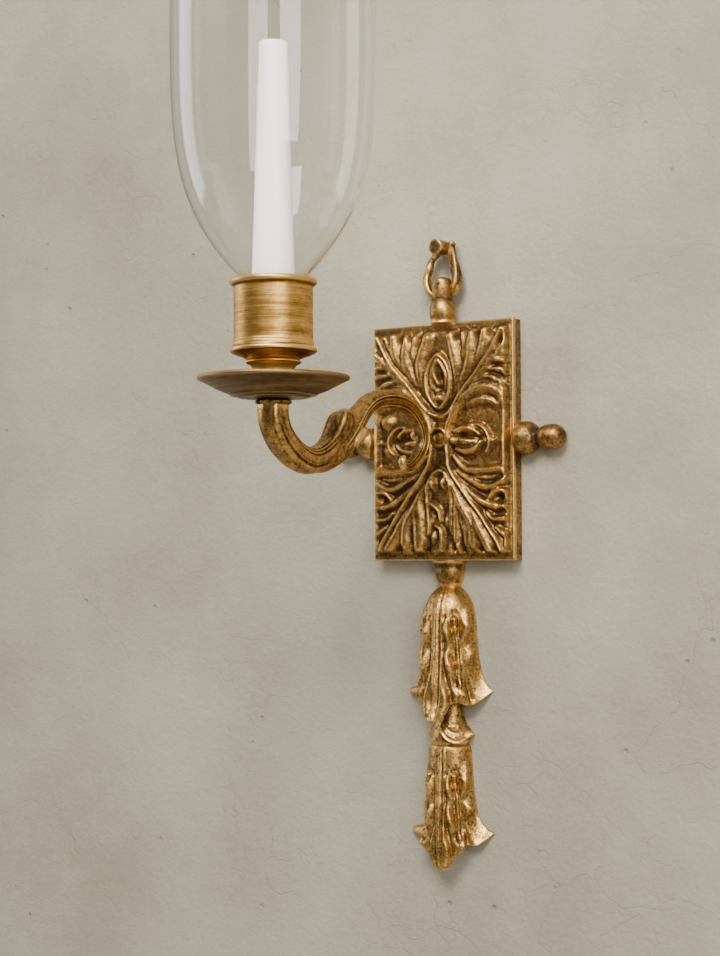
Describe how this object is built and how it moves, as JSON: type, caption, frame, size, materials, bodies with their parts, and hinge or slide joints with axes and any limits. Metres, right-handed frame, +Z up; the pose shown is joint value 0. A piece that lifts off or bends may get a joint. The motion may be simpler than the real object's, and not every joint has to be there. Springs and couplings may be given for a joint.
{
  "type": "wall sconce candle holder",
  "caption": "Wall sconce: acanthus relief plate with a hanging husk drop and a double-scroll arm that carries a drip pan, a turned candle cup, a candle and a glass storm shade.",
  "frame": {"origin": "on the wall plane, in the middle of the line between the two wall screw holes, behind the centre of the back plate", "axes": "-Y out from the wall into the room, +X to the right of someone facing the wall, +Z up"},
  "size_m": [0.17, 0.2426, 0.594],
  "materials": {
    "gilt_bronze": "cast, gilt, dark brown patina in the recesses",
    "gilt_bronze_dark": "gilt, olive-brown patina",
    "brushed_gilt": "satin, turned",
    "steel": "plain",
    "glass": "clear, polished",
    "wax": "smooth wax",
    "wick": "braided cotton",
    "felt": "felt"
  },
  "bodies": {
    "root": {"relief_panel": "gilt_bronze", "back_frame": "gilt_bronze_dark", "wall_bracket": "steel", "bracket_grub_screws": "steel", "panel_screws": "steel", "arm_boss": "gilt_bronze", "arm_stud": "steel", "arm_nut": "steel", "rear_scroll": "gilt_bronze", "front_scroll": "gilt_bronze", "arm_collar": "gilt_bronze", "drip_pan": "gilt_bronze_dark", "cup_foot": "brushed_gilt", "cup_base": "brushed_gilt", "cup_barrel": "brushed_gilt", "candle_socket": "brushed_gilt", "cup_nipple": "steel", "cup_lock_nut": "steel", "shade_gasket": "felt", "top_knob": "gilt_bronze", "top_loop": "gilt_bronze", "loop_peg": "gilt_bronze", "left_finial": "gilt_bronze", "right_finial": "gilt_bronze", "finial_studs": "steel", "finial_nuts": "steel", "drop_neck": "gilt_bronze", "upper_husk": "gilt_bronze", "calyx": "gilt_bronze", "lower_husk": "gilt_bronze", "drop_spine": "steel", "spine_rivets": "steel"},
    "shade": {"glass_shade": "glass"},
    "candle_body": {"candle": "wax", "wick": "wick"}
  },
  "joints": [
    {"name": "shade_lift", "type": "slide", "parent": "root", "child": "shade", "axis": [0, 0, 1], "range_m": [0, 0.16]},
    {"name": "candle_lift", "type": "slide", "parent": "root", "child": "candle_body", "axis": [0, 0, 1], "range_m": [0, 0.28]}
  ]
}
